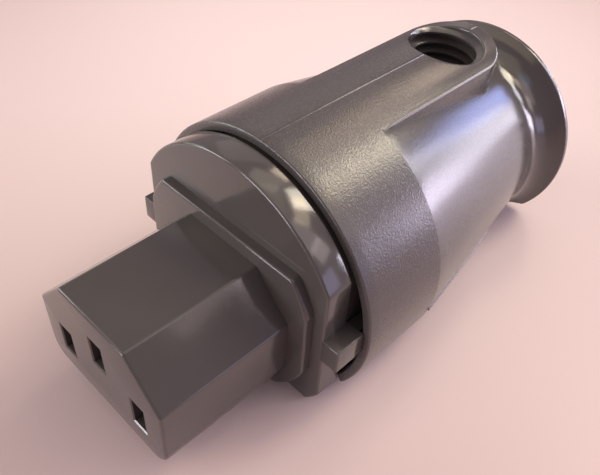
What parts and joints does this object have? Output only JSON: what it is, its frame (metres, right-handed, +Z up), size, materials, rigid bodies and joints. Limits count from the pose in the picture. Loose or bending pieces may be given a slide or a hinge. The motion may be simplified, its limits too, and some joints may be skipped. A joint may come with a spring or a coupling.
{
  "type": "rewireable cable connector",
  "caption": "Female cable connector of the C13 pattern: keyed nose with flat-pin slots, flanged contact carrier, tapered rear shell with a screw-down cable clamp and a flared cable mouth.",
  "frame": {"origin": "Centre of the part's bounding box in X and Y, at its lowest level, which is the flat underside of the contact carrier's flange.", "axes": "+X runs from the cable mouth to the nose, the way the connector is pushed into an inlet. +Z is up, towards the earth slot and the cable clamp's boss. +Y completes the right-handed frame."},
  "size_m": [0.0742, 0.0384, 0.0309],
  "materials": {
    "carrier_plastic": "smooth semi-gloss grey moulding",
    "shell_plastic": "grey moulding, fine spark-eroded grain in front, satin taper, glossy flare",
    "cover_plastic": "dark grey moulding",
    "contact_brass": "stamped brass",
    "screw_steel": "zinc plated steel",
    "clamp_nylon": "black nylon"
  },
  "bodies": {
    "connector": {"contact_carrier": "carrier_plastic", "rear_shell": "shell_plastic", "carrier_cover": "cover_plastic", "line_contact": "contact_brass", "neutral_contact": "contact_brass", "earth_contact": "contact_brass", "line_terminal": "contact_brass", "neutral_terminal": "contact_brass", "earth_terminal": "contact_brass", "line_pressure_plate": "screw_steel", "neutral_pressure_plate": "screw_steel", "earth_pressure_plate": "screw_steel", "line_terminal_screw": "screw_steel", "neutral_terminal_screw": "screw_steel", "earth_terminal_screw": "screw_steel", "cover_screw_left": "screw_steel", "cover_screw_right": "screw_steel"},
    "clamp_shoe": {"clamp_shoe": "clamp_nylon"},
    "clamp_screw": {"clamp_screw": "clamp_nylon"}
  },
  "joints": [
    {"name": "clamp_shoe_slide", "type": "slide", "parent": "connector", "child": "clamp_shoe", "axis": [0, 0, 1], "range_m": [0, 0.0033]},
    {"name": "clamp_screw_turn", "type": "hinge", "parent": "clamp_shoe", "child": "clamp_screw", "pos_m": [-0.02225, 0, 0.01795], "axis": [0, 0, 1], "range_deg": [0, 793]}
  ],
  "couplings": [
    {"joint": "clamp_screw_turn", "follows": "clamp_shoe_slide", "rad_per_m": 4188.8}
  ]
}
